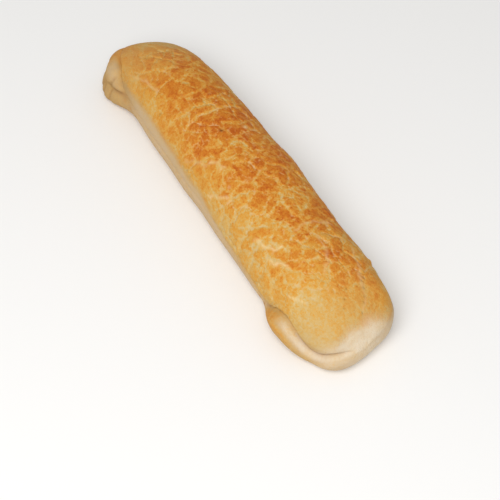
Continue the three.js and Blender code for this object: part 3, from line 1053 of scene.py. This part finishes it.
class RollColours(PropertyGroup):
    """Colours of the crust and the dough."""

    pale: colour_setting("Pale", "Crust that is thinnest", 213, 184, 128)
    straw: colour_setting("Straw", "Crust with the least colour", 213, 175, 102)
    gold: colour_setting("Gold", "Crust that is hardly browned", 217, 157, 64)
    amber: colour_setting("Amber", "Crust browned as most of it is", 211, 134, 44)
    brown: colour_setting("Brown", "Crust of the darker plates", 200, 112, 30)
    dark: colour_setting("Dark", "Darkest spots of the crust", 186, 92, 25)
    crack: colour_setting("Crack", "Paler crust in the cracks", 226, 185, 134)
    crumb: colour_setting("Crumb", "Pale crumb in the widest cracks", 236, 208, 154)
    dough: colour_setting("Dough", "Bare dough on the flanks", 190, 154, 102)
    cream: colour_setting("Cream", "Palest dough", 230, 214, 189)
    # painted shade laid in the fold, the parting and the wrinkles
    groove_shade: colour_setting("Groove", "Dough deep in the fold and the wrinkles", 150, 100, 52)
    burnt: colour_setting("Burnt", "Small burnt specks and pits", 88, 46, 16)
    tray: colour_setting("Tray marks", "Spots where the tray browned the base", 190, 132, 64)


class StageLook(PropertyGroup):
    """Floor, light and sky."""

    floor: colour_setting("Floor", "Colour of the floor", 246, 245, 243)
    key_power: FloatProperty(name="Key", description="Power of the main light", unit="POWER", default=10.3)
    sky: FloatProperty(name="Sky", description="Strength of the even light from all round", default=0.48)


class BREAD_OT_add_roll(Operator):
    """Adds the bread roll in place of its plain solid"""

    bl_idname = "bread.add_roll"
    bl_label = "Add Roll"

    def execute(self, context):
        roll = bpy.data.objects.new("roll_crust", make_roll(context.scene.bread_sizes))
        context.scene.collection.objects.link(roll)
        roll.data.materials.append(crust_material(context.scene.bread_colours))
        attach(roll, "root")
        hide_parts(NODE)
        return {"FINISHED"}


def add_floor(scene, colour):
    bm = bmesh.new()
    bmesh.ops.create_grid(bm, x_segments=1, y_segments=1, size=FLOOR.half_side)
    mesh = bpy.data.meshes.new("floor")
    bm.to_mesh(mesh)
    bm.free()
    floor = bpy.data.objects.new("floor", mesh)
    scene.collection.objects.link(floor)
    desk = NodeDesk("pale_floor")
    desk.put((*colour, 1), desk.shader.inputs["Base Color"])
    desk.put(FLOOR.roughness, desk.shader.inputs["Roughness"])
    mesh.materials.append(desk.material)


def light_evenly(scene, strength):
    """Lights the scene from all round."""
    world = bpy.data.worlds.new("even_light")
    world.use_nodes = True
    sockets = world.node_tree.nodes["Background"].inputs
    sockets["Color"].default_value = WHITE
    sockets["Strength"].default_value = strength
    scene.world = world


def turned_to(place, aim):
    """The turn that points a light or camera at a place."""
    return (aim - place).to_track_quat("-Z", "Y").to_euler()


def add_key_light(scene, power):
    light = bpy.data.lights.new("key", "AREA")
    light.shape = "DISK"
    light.size = KEY_LIGHT.size
    light.energy = power
    lamp = bpy.data.objects.new("key", light)
    lamp.location = Vector(KEY_LIGHT.direction).normalized() * KEY_LIGHT.distance
    lamp.rotation_euler = turned_to(lamp.location, Vector())
    scene.collection.objects.link(lamp)


def view_axes(azimuth, elevation):
    """Unit vectors from the object to the camera, to its right and up."""
    a, e = math.radians(azimuth), math.radians(elevation)
    back = Vector((math.sin(a) * math.cos(e), -math.cos(a) * math.cos(e), math.sin(e)))
    right = Vector((math.cos(a), math.sin(a), 0))
    return back, right, back.cross(right)


def add_camera(scene):
    back, right, up = view_axes(CAMERA.azimuth, CAMERA.elevation)
    target = Vector(CAMERA_TARGET)
    aim = target + CAMERA_OFFSET.right * right + CAMERA_OFFSET.up * up
    camera = bpy.data.objects.new("camera", bpy.data.cameras.new("camera"))
    camera.data.lens = CAMERA.lens
    camera.location = (target + CAMERA.distance * back) * MM
    camera.rotation_euler = turned_to(camera.location, aim * MM)
    scene.collection.objects.link(camera)
    scene.camera = camera


class BREAD_OT_set_stage(Operator):
    """Sets the floor, the light and the camera"""

    bl_idname = "bread.set_stage"
    bl_label = "Set Stage"

    def execute(self, context):
        scene = context.scene
        look = scene.bread_stage
        add_floor(scene, look.floor)
        light_evenly(scene, look.sky)
        add_key_light(scene, look.key_power)
        add_camera(scene)
        scene.view_settings.view_transform = "Standard"
        return {"FINISHED"}


class BREAD_PT_panel(Panel):
    """Lists the roll's settings and what makes it"""

    bl_idname = "BREAD_PT_panel"
    bl_label = "Tiger Bread Roll"
    bl_space_type = "VIEW_3D"
    bl_region_type = "UI"
    bl_category = "Bread"

    def draw(self, context):
        for group in (context.scene.bread_sizes, context.scene.bread_colours, context.scene.bread_stage):
            column = self.layout.column()
            for name in group.__annotations__:
                column.prop(group, name)
        self.layout.operator(BREAD_OT_add_roll.bl_idname)
        self.layout.operator(BREAD_OT_set_stage.bl_idname)


CLASSES = (RollSizes, RollColours, StageLook, BREAD_OT_add_roll, BREAD_OT_set_stage, BREAD_PT_panel)


def register():
    for cls in CLASSES:
        bpy.utils.register_class(cls)
    bpy.types.Scene.bread_sizes = PointerProperty(type=RollSizes)
    bpy.types.Scene.bread_colours = PointerProperty(type=RollColours)
    bpy.types.Scene.bread_stage = PointerProperty(type=StageLook)


def unregister():
    del bpy.types.Scene.bread_stage
    del bpy.types.Scene.bread_colours
    del bpy.types.Scene.bread_sizes
    for cls in reversed(CLASSES):
        bpy.utils.unregister_class(cls)


def main():
    register()
    bpy.ops.bread.add_roll()
    bpy.ops.bread.set_stage()


if __name__ == "__main__":
    main()
